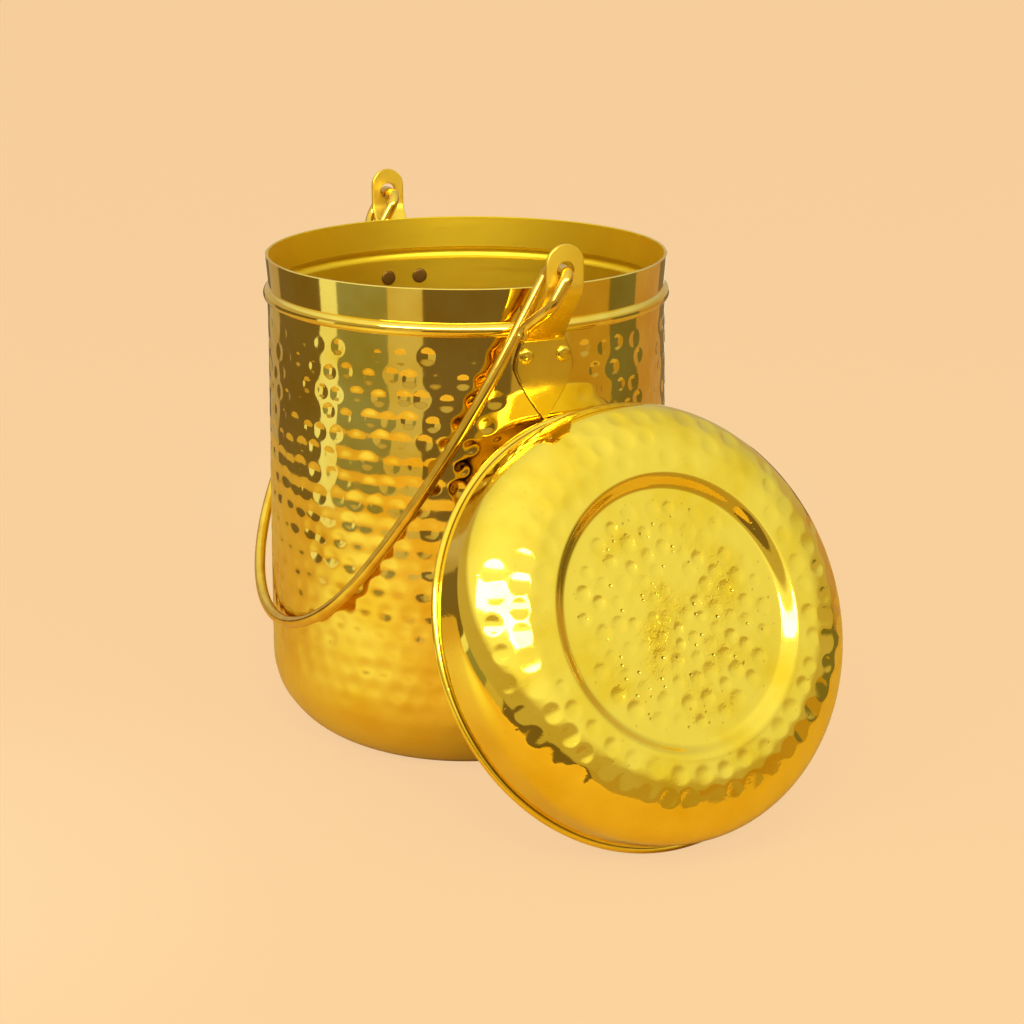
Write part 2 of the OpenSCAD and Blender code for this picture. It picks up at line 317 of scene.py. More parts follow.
# Polished lid brass: yellower than the pot, with dark pits about a millimetre across and fine wrinkles
# in patches, most on the middle of the sunk disc, where the lid is set down and rubbed.
def makeLidBrass(stand):
    material, tree = newMaterial("lidBrass")
    place = addNode(tree, "ShaderNodeTexCoord").outputs["Object"]
    flat = addNode(tree, "ShaderNodeMapping", {
        "Vector": place, "Location": stand.to_translation(), "Rotation": stand.to_euler()},
        vector_type="TEXTURE")
    middle = addNode(tree, "ShaderNodeVectorMath", {0: flat.outputs[0], 1: (1.0, 1.0, 0.0)},
                     operation="MULTIPLY")
    away = addNode(tree, "ShaderNodeVectorMath", {0: middle.outputs[0]}, operation="LENGTH")
    worn = addNode(tree, "ShaderNodeMapRange", {
        "Value": away.outputs["Value"], "From Min": 0.014, "From Max": 0.041, "To Min": 1.0, "To Max": 0.1})
    clouds = addNode(tree, "ShaderNodeTexNoise", {"Vector": place, "Scale": 60.0, "Detail": 4.0})
    shade = addNode(tree, "ShaderNodeMapRange", {
        "Value": clouds.outputs[0], "From Min": 0.42, "From Max": 0.72})
    colour = addNode(tree, "ShaderNodeMix", {
        0: shade.outputs[0], 6: hexToLinear(brassLook["lidGold"]), 7: hexToLinear(brassLook["lidTarnish"])},
        data_type="RGBA")

    # the pits, dark and sunk, in about a quarter of the cells
    cells = addNode(tree, "ShaderNodeTexVoronoi", {"Vector": flat.outputs[0], "Scale": 380.0})
    spot = addNode(tree, "ShaderNodeMapRange", {
        "Value": cells.outputs["Distance"], "From Min": 0.05, "From Max": 0.24,
        "To Min": 0.95, "To Max": 0.0})
    lot = addNode(tree, "ShaderNodeSeparateColor", {0: cells.outputs["Color"]})
    few = addNode(tree, "ShaderNodeMapRange", {"Value": lot.outputs[0], "From Min": 0.7, "From Max": 0.76})
    pits = addNode(tree, "ShaderNodeMath", {0: spot.outputs[0], 1: few.outputs[0]}, operation="MULTIPLY")
    pitted = addNode(tree, "ShaderNodeMath", {0: pits.outputs[0], 1: worn.outputs[0]}, operation="MULTIPLY")
    spotted = addNode(tree, "ShaderNodeMix", {
        0: pitted.outputs[0], 6: colour.outputs[2], 7: hexToLinear(brassLook["pit"])}, data_type="RGBA")

    grain = addNode(tree, "ShaderNodeTexNoise", {"Vector": place, "Scale": 700.0, "Detail": 3.0})
    buffed = addNode(tree, "ShaderNodeMapRange", {
        "Value": grain.outputs[0], "To Min": 0.03, "To Max": 0.09})
    gleam = addNode(tree, "ShaderNodeMath", {0: worn.outputs[0], 1: 0.08, 2: buffed.outputs[0]},
                    operation="MULTIPLY_ADD")

    # the wrinkles, about 2 mm apart and stronger where the clouds are
    wrinkles = addNode(tree, "ShaderNodeTexNoise", {
        "Vector": flat.outputs[0], "Scale": 520.0, "Detail": 3.0, "Distortion": 1.4})
    patch = addNode(tree, "ShaderNodeMapRange", {
        "Value": clouds.outputs[0], "From Min": 0.42, "From Max": 0.66, "To Min": 0.1, "To Max": 0.55})
    where = addNode(tree, "ShaderNodeMath", {0: patch.outputs[0], 1: worn.outputs[0]}, operation="MULTIPLY")
    rough = addNode(tree, "ShaderNodeMath", {0: wrinkles.outputs[0], 1: where.outputs[0]},
                    operation="MULTIPLY")
    sunkPits = addNode(tree, "ShaderNodeMath", {0: pitted.outputs[0], 1: -0.6, 2: rough.outputs[0]},
                       operation="MULTIPLY_ADD")
    bump = addNode(tree, "ShaderNodeBump", {
        "Height": sunkPits.outputs[0], "Strength": 0.9, "Distance": 0.0004})
    shader = addNode(tree, "ShaderNodeBsdfPrincipled", {
        "Base Color": spotted.outputs[2], "Metallic": 1.0, "Roughness": gleam.outputs[0],
        "Normal": bump.outputs[0]})
    addNode(tree, "ShaderNodeOutputMaterial", {"Surface": shader.outputs[0]})
    return material


hammeredBrass = makeHammeredBrass()
scouredBrass = makeScouredBrass()
stripBrass = makeStripBrass()
shadeAndTailBrown = makeShadeAndTailBrown()
wireBrass = makeWireBrass()
print("materials mixed")

# pot, mm
pot = {
    "height": 172.6, "wallRadius": 70, "bellyRadius": 72.6, "cornerRadius": 27, "sheet": 1,
    "beadHeight": 159, "collarRadius": 69.4, "rimRadius": 70.2, "rimEdge": 0.25, "beadRound": 2.4,
    "beadProud": 1.4, "grooveRound": 2.43,
    # mesh: steps round the axis, and the length of a step up the wall above and below fineTo
    "steps": 440, "fine": 0.86, "fineTo": 75, "coarse": 1.3,
    # rows of blows down the wall, with what is left to chance
    "firstRow": 150, "lastRow": 14, "rowGap": 7.3, "blowGap": 7.9, "blowRadius": 2.9, "blowDepth": 0.4,
    "shift": 0.16, "scatter": 0.9, "stray": 0.6, "depths": (0.35, 1.15), "sizes": (0.85, 1.1), "seed": 11,
    # going down they grow deeper and broader, and near the base fainter again
    "deeper": 0.35, "broader": 0.2, "fade": 80,
    # no blows under the ears: half width, and the height where this starts
    "earRoom": 15, "earFoot": 122,
    # the beaten sheet between the blows, the plain bands at bead and base, and how it eases into them
    "waveDepth": 0.3, "waveLength": 15, "rowDepth": 0.05, "plain": 3, "easeTop": 3, "easeBase": 8,
    "skin": 0.6,  # how near to the outer face a point counts as beaten
}


def wallAt(z):
    low, high = pot["cornerRadius"], pot["beadHeight"]
    return pot["bellyRadius"] + (pot["wallRadius"] - pot["bellyRadius"]) * (z - low) / (high - low)


# half section of the sheet, from the middle of the base up the outside, then down the inside
def potSection(given, corner):
    sheet, edge = given["sheet"], given["rimEdge"]
    bead = (given["wallRadius"] + given["beadProud"] - given["beadRound"], given["beadHeight"])
    groove = (bead[0] + given["beadRound"] - sheet - given["grooveRound"], given["beadHeight"])

    # where the bead's circle meets the wall and the collar, and where the groove's meets the inside
    below = -math.degrees(math.acos((given["wallRadius"] - bead[0]) / given["beadRound"]))
    above = math.degrees(math.acos((given["collarRadius"] - bead[0]) / given["beadRound"]))
    reach = math.degrees(math.acos((given["wallRadius"] - sheet - groove[0]) / given["grooveRound"]))

    section = [(0, 0)]
    section += fillLine((0, 0), (corner[0], 0), step=15)
    section += fillArc(corner, given["cornerRadius"], -90, 0, step=1.6)
    section += fillLine(section[-1], (wallAt(given["fineTo"]), given["fineTo"]), given["coarse"])
    section += fillLine(section[-1], pointOnArc(bead, given["beadRound"], below), given["fine"])
    section += fillArc(bead, given["beadRound"], below, above, step=0.5)
    outer, inner, top = given["rimRadius"], given["rimRadius"] - sheet, given["height"]
    section += fillLine(section[-1], (outer, top - edge), step=2.6)
    section += [(outer - edge, top), (inner + edge, top), (inner, top - edge)]
    section += fillLine(section[-1], pointOnArc(groove, given["grooveRound"], reach), step=4)
    section += fillArc(groove, given["grooveRound"], reach, -reach, step=0.45)
    section += fillLine(section[-1], (given["bellyRadius"] - sheet, corner[1]), step=13)
    section += fillArc(corner, given["cornerRadius"] - sheet, 0, -90, step=6)
    section += fillLine(section[-1], (0, sheet), step=15)
    return section


# rows of blows as (place, radius, depth), each row shifted by half a blow
def potBlows(given, corner):
    chance = random.Random(given["seed"])
    blows = []
    z = given["firstRow"]
    row = 0
    while z > given["lastRow"]:
        if z > corner[1]:
            radius = wallAt(z)
        else:
            radius = corner[0] + math.sqrt(given["cornerRadius"] ** 2 - (corner[1] - z) ** 2)
        count = round(2 * math.pi * radius / given["blowGap"])
        down = 1 - z / given["firstRow"]
        firm = given["blowDepth"] * min(1 + given["deeper"] * down, 0.5 + z / given["fade"])
        broad = given["blowRadius"] * (1 + given["broader"] * down)
        for i in range(count):
            nudge = chance.uniform(-given["shift"], given["shift"])
            angle = 2 * math.pi * (i + 0.5 * (row % 2) + nudge) / count
            side = abs(math.asin(max(-1, min(1, math.cos(angle))))) * radius  # distance from the ears' line
            lift = min(z + chance.uniform(-1, 1) * given["scatter"], given["firstRow"] + given["stray"])
            depth = firm * chance.uniform(*given["depths"])
            size = broad * chance.uniform(*given["sizes"])
            if side < given["earRoom"] and lift > given["earFoot"]:
                continue
            blows.append(((radius * math.cos(angle), radius * math.sin(angle), lift), size, depth))
        z -= given["rowGap"]
        row += 1
    return blows


def makePot(given):
    corner = (given["bellyRadius"] - given["cornerRadius"], given["cornerRadius"])
    piece = spinSection("potShell", potSection(given, corner), given["steps"])

    # the beaten face: outside only, easing off towards the bead and the base
    def outside(co):
        around = math.hypot(co.x, co.y)
        if co.z > corner[1]:
            beaten = around > wallAt(co.z) - given["skin"]
        else:
            beaten = math.hypot(around - corner[0], co.z - corner[1]) > given["cornerRadius"] - given["skin"]
        underBead = (given["beadHeight"] - given["plain"] - co.z) / given["easeTop"]
        overBase = (co.z - given["plain"]) / given["easeBase"]
        return max(0, min(1, underBead, overBase)) if beaten and around > corner[0] else 0

    # long soft waves, and a slight trough along each row of blows
    def uneven(co):
        trough = 0.5 + 0.5 * math.cos(2 * math.pi * (co.z - given["firstRow"]) / given["rowGap"])
        wave = 0.5 + 0.5 * noise.noise(co / given["waveLength"])
        return given["waveDepth"] * wave + given["rowDepth"] * trough

    hammer(piece, potBlows(given, corner), outside, uneven)

    # two finishes: polished outside, scoured inside
    piece.data.materials.append(hammeredBrass)
    piece.data.materials.append(scouredBrass)
    for face in piece.data.polygons:
        facesIn = face.normal.dot(Vector((face.center.x, face.center.y, 0))) < -0.01 * mm
        onFloor = face.normal.z > 0.5 and face.center.z < 30 * mm
        if facesIn or onFloor:
            face.material_index = 1
    pick(piece)
    bpy.ops.object.shade_smooth_by_angle(angle=math.radians(40))
    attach(piece, "pot")
    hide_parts("pot_body")
    print("pot spun:", len(piece.data.polygons), "faces")


makePot(pot)

# ears, mm
ear = {
    "sheet": 1.5, "width": 12.5, "leafWidth": 20.4, "leafHeight": 26.2, "tipHalf": 0.4, "bendDrop": 4.5,
    "lean": 42, "lowerBend": 4, "upperBend": 5, "plateRadius": 86.55, "eyeRadius": 2.8, "eyeRise": 4.5,
    "eyeCover": 5.5, "edge": 0.4, "across": 16,
}


# heights up the strip, and the length of its slanted run between the two bends
def earLevels(given):
    lean = math.radians(given["lean"])
    bends = given["lowerBend"] + given["upperBend"]
    low = pot["beadHeight"] - given["bendDrop"]
    run = (given["plateRadius"] - wallAt(low) - bends * (1 - math.cos(lean))) / math.sin(lean)
    high = low + bends * math.sin(lean) + run * math.cos(lean)
    eye = high + given["eyeRise"]
    return {
        "tip": low - given["leafHeight"], "wide": low - given["leafHeight"] / 3, "low": low, "run": run,
        "neck": pot["beadHeight"] + pot["beadRound"], "high": high, "eye": eye,
        "top": eye + given["eyeRadius"] + given["eyeCover"],
    }


# side view of the strip's inner face, from the leaf's tip to the top, as (radius, height)
def earPath(given, at):
    lean = math.radians(given["lean"])
    foot, plate, half = wallAt(at["low"]), given["plateRadius"], given["width"] / 2
    path = [(wallAt(at["tip"]), at["tip"])]
    path += fillLine(path[0], (foot, at["low"]), step=0.7)
    path += fillArc((foot + given["lowerBend"], at["low"]), given["lowerBend"], 180, 180 - given["lean"],
                    step=0.35)
    start = path[-1]
    end = (start[0] + at["run"] * math.sin(lean), start[1] + at["run"] * math.cos(lean))
    path += fillLine(start, end, step=0.9)
    path += fillArc((plate - given["upperBend"], at["high"]), given["upperBend"], -given["lean"], 0, step=0.4)
    path += fillLine(path[-1], (plate, at["top"] - half), step=0.7)
    path += [(plate, at["top"] - half + half * math.sin(math.radians(5 * i))) for i in range(1, 17)]
    path += [(plate, at["top"])]
    return path


# half the strip's width at a height: the leaf, the neck, the plate and its round top
def earHalfWidth(given, at, z):
    half, wide = given["width"] / 2, given["leafWidth"] / 2
    if z < at["wide"]:
        share = (z - at["tip"]) / (at["wide"] - at["tip"])
        return max(given["tipHalf"], wide * (0.6 * share + 0.4 * math.sin(math.pi / 2 * share)))
    if z < at["neck"]:
        share = (z - at["wide"]) / (at["neck"] - at["wide"])
        return half + (wide - half) * (1 + math.cos(math.pi * share)) / 2
    if z < at["top"] - half:
        return half
    return max(half * 0.12, math.sqrt(max(0, half ** 2 - (z - at["top"] + half) ** 2)))


def makeEars(given):
    at = earLevels(given)
    path = earPath(given, at)

    # a flat grid, its rows laid along the path and drawn in to the outline
    deselectAll()
    bpy.ops.mesh.primitive_grid_add(x_subdivisions=given["across"], y_subdivisions=len(path) - 1, size=2)
    piece = bpy.context.object
    piece.name = piece.data.name = "frontEar"
    for vertex in piece.data.vertices:
        row = round((vertex.co.y + 1) / 2 * (len(path) - 1))
        r, z = path[row]
        x = vertex.co.x * earHalfWidth(given, at, z)
        vertex.co = Vector((x, -math.sqrt(r * r - x * x), z)) * mm
    bpy.ops.object.mode_set(mode="EDIT")
    bpy.ops.mesh.select_all(action="SELECT")
    bpy.ops.mesh.normals_make_consistent(inside=False)
    bpy.ops.object.mode_set(mode="OBJECT")
    if piece.data.polygons[0].normal.y > 0:  # the sheet gets its thickness on the outside
        pick(piece)
        bpy.ops.object.mode_set(mode="EDIT")
        bpy.ops.mesh.select_all(action="SELECT")
        bpy.ops.mesh.flip_normals()
        bpy.ops.object.mode_set(mode="OBJECT")
    thicken = piece.modifiers.new("sheet", "SOLIDIFY")
    thicken.thickness = given["sheet"] * mm
    thicken.offset = 1
    soften = piece.modifiers.new("edge", "BEVEL")
    soften.width = given["edge"] * mm
    soften.segments = 3
    soften.limit_method = "ANGLE"
    soften.angle_limit = math.radians(50)
    soften.use_clamp_overlap = False
    applyModifiers(piece)

    # the eye, cut with a drill that flares at both faces: (radius, depth under the face)
    inner, outer, eye = given["plateRadius"], given["plateRadius"] + given["sheet"], given["eyeRadius"]
    flare = [(0, -2), (4.2, -2), (eye + 0.4, -0.05), (eye + 0.12, 0.15), (eye, 0.45)]
    section = [(r, inner + depth) for r, depth in flare]
    section += [(r, outer - depth) for r, depth in reversed(flare)]
    drill = spinSection("drill", section, 64)
    drill.rotation_euler = (math.pi / 2, 0, 0)
    drill.location = (0, 0, at["eye"] * mm)
    cut = piece.modifiers.new("eye", "BOOLEAN")
    cut.object = drill
    cut.solver = "EXACT"
    applyModifiers(piece)
    bpy.data.objects.remove(drill)

    # polished faces, with painted shade on the leaf's cut edge for the dark line between leaf and wall
    piece.data.materials.append(stripBrass)
    piece.data.materials.append(shadeAndTailBrown)
    for face in piece.data.polygons:
        outward = Vector((face.center.x, face.center.y, 0)).normalized()
        if face.center.z < at["low"] * mm and abs(face.normal.dot(outward)) < 0.8:
            face.material_index = 1
    pick(piece)
    bpy.ops.object.shade_smooth_by_angle(angle=math.radians(35))
    bpy.ops.object.duplicate()
    rear = bpy.context.object
    rear.name = rear.data.name = "rearEar"
    rear.rotation_euler = (0, 0, math.pi)
    bpy.ops.object.transform_apply(location=False, rotation=True, scale=False)
    for strip, node in ((piece, "front_ear"), (rear, "rear_ear")):
        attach(strip, "pot")
        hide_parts(node)
    print("ears bent:", len(piece.data.polygons), "faces each")


makeEars(ear)

# rivets, mm
rivet = {"shank": 1.5, "head": 2.6, "dome": 1.0, "tail": 2.9, "tailDepth": 0.8, "offset": 6.4, "drop": 4.2}


def makeRivets(given):
    height = pot["beadHeight"] - ear["bendDrop"] - given["drop"]
    radius = wallAt(height)
    turn = math.asin(given["offset"] / radius)
    back, face = -pot["sheet"], ear["sheet"]  # the pot's inside and the strip's outside, from the wall
    shank, head, tail = given["shank"], given["head"], given["tail"]
    end = back - given["tailDepth"]
    section = [
        (0, end), (1.2, end + 0.02), (tail - 0.35, end + 0.08),                      # the tail's flat end
        (tail - 0.08, back - 0.45), (tail, back - 0.2), (tail - 0.15, back + 0.02),  # and its edge
        (shank, back + 0.05), (shank, face - 0.1),
        (head - 0.1, face - 0.08), (head, face + 0.12), (head - 0.12, face + 0.36),  # the head's edge
        (head - 0.5, face + 0.66), (1.5, face + 0.84), (1.1, face + 0.8),            # a shallow ring
        (0.75, face + 0.86), (0.35, face + 0.97), (0, face + given["dome"]),         # and the dome in it
    ]
    names = {"front_left_rivet": (0, -1), "front_right_rivet": (0, 1),
             "rear_left_rivet": (math.pi, 1), "rear_right_rivet": (math.pi, -1)}
    for node, (facing, side) in names.items():
        first, last = node.split("_")[:2]
        piece = spinSection(first + last.capitalize() + "Rivet", section, 40)
        rounding = piece.modifiers.new("round", "SUBSURF")
        rounding.levels = rounding.render_levels = 1
        applyModifiers(piece)
        piece.data.materials.append(stripBrass)
        piece.data.materials.append(shadeAndTailBrown)
        # the tails take the same dark brown as the painted shade on the leaf's edge
        for flat in piece.data.polygons:
            if flat.center.z < (back + 0.03) * mm:  # the tail, inside the pot
                flat.material_index = 1
        onWall = Matrix.Translation((0, -radius * mm, height * mm)) @ Matrix.Rotation(math.pi / 2, 4, "X")
        piece.matrix_world = Matrix.Rotation(facing + side * turn, 4, "Z") @ onWall
        pick(piece)
        bpy.ops.object.transform_apply(location=True, rotation=True, scale=True)
        bpy.ops.object.shade_smooth()
        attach(piece, "pot")
        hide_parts(node)
    print("rivets set")


makeRivets(rivet)

# bail, mm: drawn flat, X across and Y from the hinge line, then hung on the ears
bail = {
    "wire": 4, "length": 152.6, "sideCurve": 205, "sideTurn": 26, "half": 75.95, "hookBend": 4.2,
    "tailBend": 3, "tailRoom": 0.9, "tailDrop": 6, "tailTurn": 48, "tailCurve": 6, "tailGap": 0.3,
    "endEdge": 0.6, "hingeZ": 180.287, "restAngle": 29.4164,
}


# one side of the wire, from the tail's end through the eye and down the leg to the middle of the loop
def bailSide(given):
    radius = given["wire"] / 2
    half, turn = given["half"], math.radians(given["sideTurn"])
    loop = (half - given["sideCurve"] * (1 - math.cos(turn))) / math.cos(turn)
    legEnd = given["length"] - given["sideCurve"] * math.sin(turn) - loop * (1 - math.sin(turn))
    tailPlace = ear["plateRadius"] + ear["sheet"] + given["tailRoom"] + radius
    curve, swing = given["tailCurve"], math.radians(given["tailTurn"])
    turnCentre = (tailPlace - curve, given["tailBend"] + given["tailDrop"])
    runStart = pointOnArc(turnCentre, curve, given["tailTurn"])
    lastPlace = half + given["wire"] + given["tailGap"]
    slant = (runStart[0] - lastPlace - curve * (1 - math.cos(swing))) / math.sin(swing)
    runEnd = (runStart[0] - slant * math.sin(swing), runStart[1] + slant * math.cos(swing))
    lastCentre = pointOnArc(runEnd, curve, given["tailTurn"])

    side = [(lastCentre[0] - curve, lastCentre[1] + radius / 2), (lastCentre[0] - curve, lastCentre[1])]
    side += fillArc(lastCentre, curve, 180, 180 + given["tailTurn"], step=0.6)
    side += fillLine(side[-1], runStart, step=3)
    side += fillArc(turnCentre, curve, given["tailTurn"], 0, step=0.6)
    side += fillLine(side[-1], (tailPlace, given["tailBend"]), step=3)
    side += fillArc((tailPlace - given["tailBend"], given["tailBend"]), given["tailBend"], 0, -90, step=0.4)
    side += fillLine(side[-1], (half + given["hookBend"], 0), step=3)
    side += fillArc((half + given["hookBend"], given["hookBend"]), given["hookBend"], 270, 180, step=0.5)
    side += fillLine(side[-1], (half, legEnd), step=5)
    side += fillArc((half - given["sideCurve"], legEnd), given["sideCurve"], 0, given["sideTurn"], step=2.5)
    side += fillArc((0, given["length"] - loop), loop, given["sideTurn"], 90, step=2)
    return side


def makeBail(given):
    side = bailSide(given)
    points = [(x, y, 0) for x, y in side] + [(-x, y, 0) for x, y in side[-2::-1]]
    piece = drawChain("bailWire", points)
    bpy.ops.object.mode_set(mode="OBJECT")
    pick(piece)
    bpy.ops.object.convert(target="CURVE")
    piece = bpy.context.object
    piece.data.bevel_depth = given["wire"] / 2 * mm
    piece.data.bevel_resolution = 6
    piece.data.use_fill_caps = True
    bpy.ops.object.convert(target="MESH")
    piece = bpy.context.object
    bpy.ops.object.mode_set(mode="EDIT")
    bpy.ops.mesh.select_all(action="SELECT")
    bpy.ops.mesh.remove_doubles(threshold=0.000005)
    bpy.ops.mesh.normals_make_consistent(inside=False)
    bpy.ops.object.mode_set(mode="OBJECT")
    soften = piece.modifiers.new("ends", "BEVEL")
    soften.width = given["endEdge"] * mm
    soften.segments = 3
    soften.limit_method = "ANGLE"
    soften.angle_limit = math.radians(60)
    applyModifiers(piece)
    piece.matrix_world = (Matrix.Translation((0, 0, given["hingeZ"] * mm))
                          @ Matrix.Rotation(math.radians(given["restAngle"] - 90), 4, "Y")
                          @ Matrix.Rotation(math.pi / 2, 4, "Z"))
    pick(piece)
    bpy.ops.object.transform_apply(location=True, rotation=True, scale=True)
    bpy.ops.object.shade_smooth_by_angle(angle=math.radians(50))
    piece.name = piece.data.name = "bailWire"
    piece.data.materials.append(wireBrass)
    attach(piece, "bail")
    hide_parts("bail_handle")
    print("bail bent:", len(piece.data.polygons), "faces")


makeBail(bail)

# lid, mm: spun round Z with its open end at zero, then leant on the wall
lid = {
    "height": 29.6, "sheet": 0.8, "skirtRadius": 71.35, "roll": 2.4, "rollCentre": 71.75, "shoulder": 15,
    "crownRadius": 51, "floorRadius": 40.2, "lipRadius": 45.4, "discDepth": 3, "crease": 0.6,
    "lean": 26.8, "turn": 10.2, "out": 103.415, "rise": 64.702,
    # mesh: steps round the axis, and the length of a step on the beaten face
    "steps": 540, "fine": 0.72,
    # rows of blows from the shoulder in to the middle: radius of the row, gap, blow's radius, depth
    "rows": ((64.3, 8.7, 3.5, 0.42), (57.5, 8.3, 3.6, 0.38), (50.3, 8.5, 3.3, 0.2), (34.2, 8.2, 2.9, 0.26),
             (27.6, 7.8, 2.9, 0.27), (21.2, 7.2, 2.7, 0.25), (15.2, 6.8, 2.6, 0.24), (9.2, 6.2, 2.4, 0.22),
             (3.6, 5.6, 2.2, 0.2)),
    # what is left to chance, firm in some places and faint in others
    "shift": 0.14, "scatter": 0.8, "sizes": (0.8, 1.12), "firm": 0.75, "firmLength": 16, "firmChance": 0.25,
    "faintest": 0.15, "firmest": 1.15, "seed": 5,
    # the beaten sheet between the blows, how it eases off at the lip and the skirt, and its skin
    "waveDepth": 0.07, "waveLength": 12, "easeLip": 1.5, "easeSkirt": 5, "skin": 0.4,
}


# height of the outer face over the sunk disc, the crown and the shoulder
def lidTopAt(around):
    if around < lid["lipRadius"]:
        return lid["height"] - lid["discDepth"]
    across = max(0, around - lid["crownRadius"]) / (lid["skirtRadius"] - lid["crownRadius"])
    return lid["height"] - lid["shoulder"] + lid["shoulder"] * math.sqrt(max(0, 1 - across ** 2))


# height where the skirt runs into the rolled edge
def lidRollTop(given):
    radius = given["roll"] / 2
    return radius + math.sqrt(radius ** 2 - (given["skirtRadius"] - given["rollCentre"]) ** 2)


# half section of the sheet, from the middle of the sunk disc out to the rolled edge, then back inside
def lidSection(given):
    outer, crown, sheet = given["skirtRadius"], given["crownRadius"], given["sheet"]
    floor, lip = given["floorRadius"], given["lipRadius"]
    top, skirt = given["height"], given["height"] - given["shoulder"]
    sunk = top - given["discDepth"]
    rollRadius, rollTop = given["roll"] / 2, lidRollTop(given)

    # the shoulder, a quarter of an ellipse from the crown's edge down to the skirt
    def shoulderPoint(degrees, inset):
        bend = math.radians(degrees)
        return (crown + (outer - crown - inset) * math.cos(bend),
                skirt + (given["shoulder"] - inset) * math.sin(bend))

    # the lip of the sunk disc, an easy S from its floor up to the crown
    def lipPoint(share, inset):
        rise = given["discDepth"] * (1 - math.cos(math.pi * share)) / 2
        return (floor + (lip - floor) * share, sunk - inset + rise)

    section = [(0, sunk)]
    section += fillLine(section[-1], (floor, sunk), given["fine"])
    section += [lipPoint(i / 12, 0) for i in range(1, 13)]
    section += fillLine(section[-1], (crown, top), given["fine"])
    section += [shoulderPoint(90 - 2 * i, 0) for i in range(1, 46)]
    section += fillLine(section[-1], (outer, rollTop + given["crease"]), step=2.4)
    section += [(outer, rollTop)]
    start = math.degrees(math.atan2(rollTop - rollRadius, outer - given["rollCentre"]))
    section += fillArc((given["rollCentre"], rollRadius), rollRadius, start, -180, step=0.35)
    section += fillLine(section[-1], (outer - sheet, skirt), step=6)
    section += [shoulderPoint(9 * i, sheet) for i in range(1, 11)]
    section += fillLine(section[-1], lipPoint(1, sheet), step=6)
    section += [lipPoint(1 - i / 8, sheet) for i in range(1, 9)]
    section += fillLine(section[-1], (0, sunk - sheet), step=9)
    return section


def lidBlows(given):
    chance = random.Random(given["seed"])
    blows = []
    for row, (around, gap, size, depth) in enumerate(given["rows"]):
        count = max(4, round(2 * math.pi * around / gap))
        for i in range(count):
            nudge = chance.uniform(-given["shift"], given["shift"])
            angle = 2 * math.pi * (i + 0.5 * (row % 2) + nudge) / count
            r = around + chance.uniform(-given["scatter"], given["scatter"])
            place = (r * math.cos(angle), r * math.sin(angle), lidTopAt(r))
            firm = given["firm"] + given["firm"] * noise.noise(Vector(place) / given["firmLength"])
            firm += chance.uniform(-given["firmChance"], given["firmChance"])
            firm = min(given["firmest"], max(given["faintest"], firm))
            blows.append((place, size * chance.uniform(*given["sizes"]), depth * firm))
    return blows


def makeLid(given):
    skirt = given["height"] - given["shoulder"]
    piece = spinSection("lidShell", lidSection(given), given["steps"])

    # the beaten face: the sunk disc, the crown round it and the upper shoulder
    def outside(co):
        around = math.hypot(co.x, co.y)
        if co.z < lidTopAt(around) - given["skin"]:
            return 0
        if around < given["floorRadius"]:
            return min(1, (given["floorRadius"] - around) / given["easeLip"])
        overLip = (around - given["lipRadius"]) / given["easeLip"]
        return max(0, min(1, overLip, (co.z - skirt) / given["easeSkirt"]))

    def uneven(co):
        return given["waveDepth"] * (0.5 + 0.5 * noise.noise(co / given["waveLength"]))

    hammer(piece, lidBlows(given), outside, uneven)
    stand = (Matrix.Rotation(math.radians(given["turn"]), 4, "Z")
             @ Matrix.Translation((0, -given["out"] * mm, given["rise"] * mm))
             @ Matrix.Rotation(math.radians(90 - given["lean"]), 4, "X"))

    # polished, with painted shade in the crease above the roll
    piece.data.materials.append(makeLidBrass(stand))
    piece.data.materials.append(shadeAndTailBrown)
    creaseMiddle = lidRollTop(given) + given["crease"] / 2
    for face in piece.data.polygons:
        around = math.hypot(face.center.x, face.center.y) / mm
        if abs(face.center.z / mm - creaseMiddle) < 0.1 and around > given["skirtRadius"] - 0.1:
            face.material_index = 1
    piece.matrix_world = stand
    pick(piece)
    bpy.ops.object.transform_apply(location=True, rotation=True, scale=True)
    bpy.ops.object.shade_smooth_by_angle(angle=math.radians(40))
    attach(piece, "lid")
    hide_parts("lid")
    print("lid spun:", len(piece.data.polygons), "faces")


makeLid(lid)

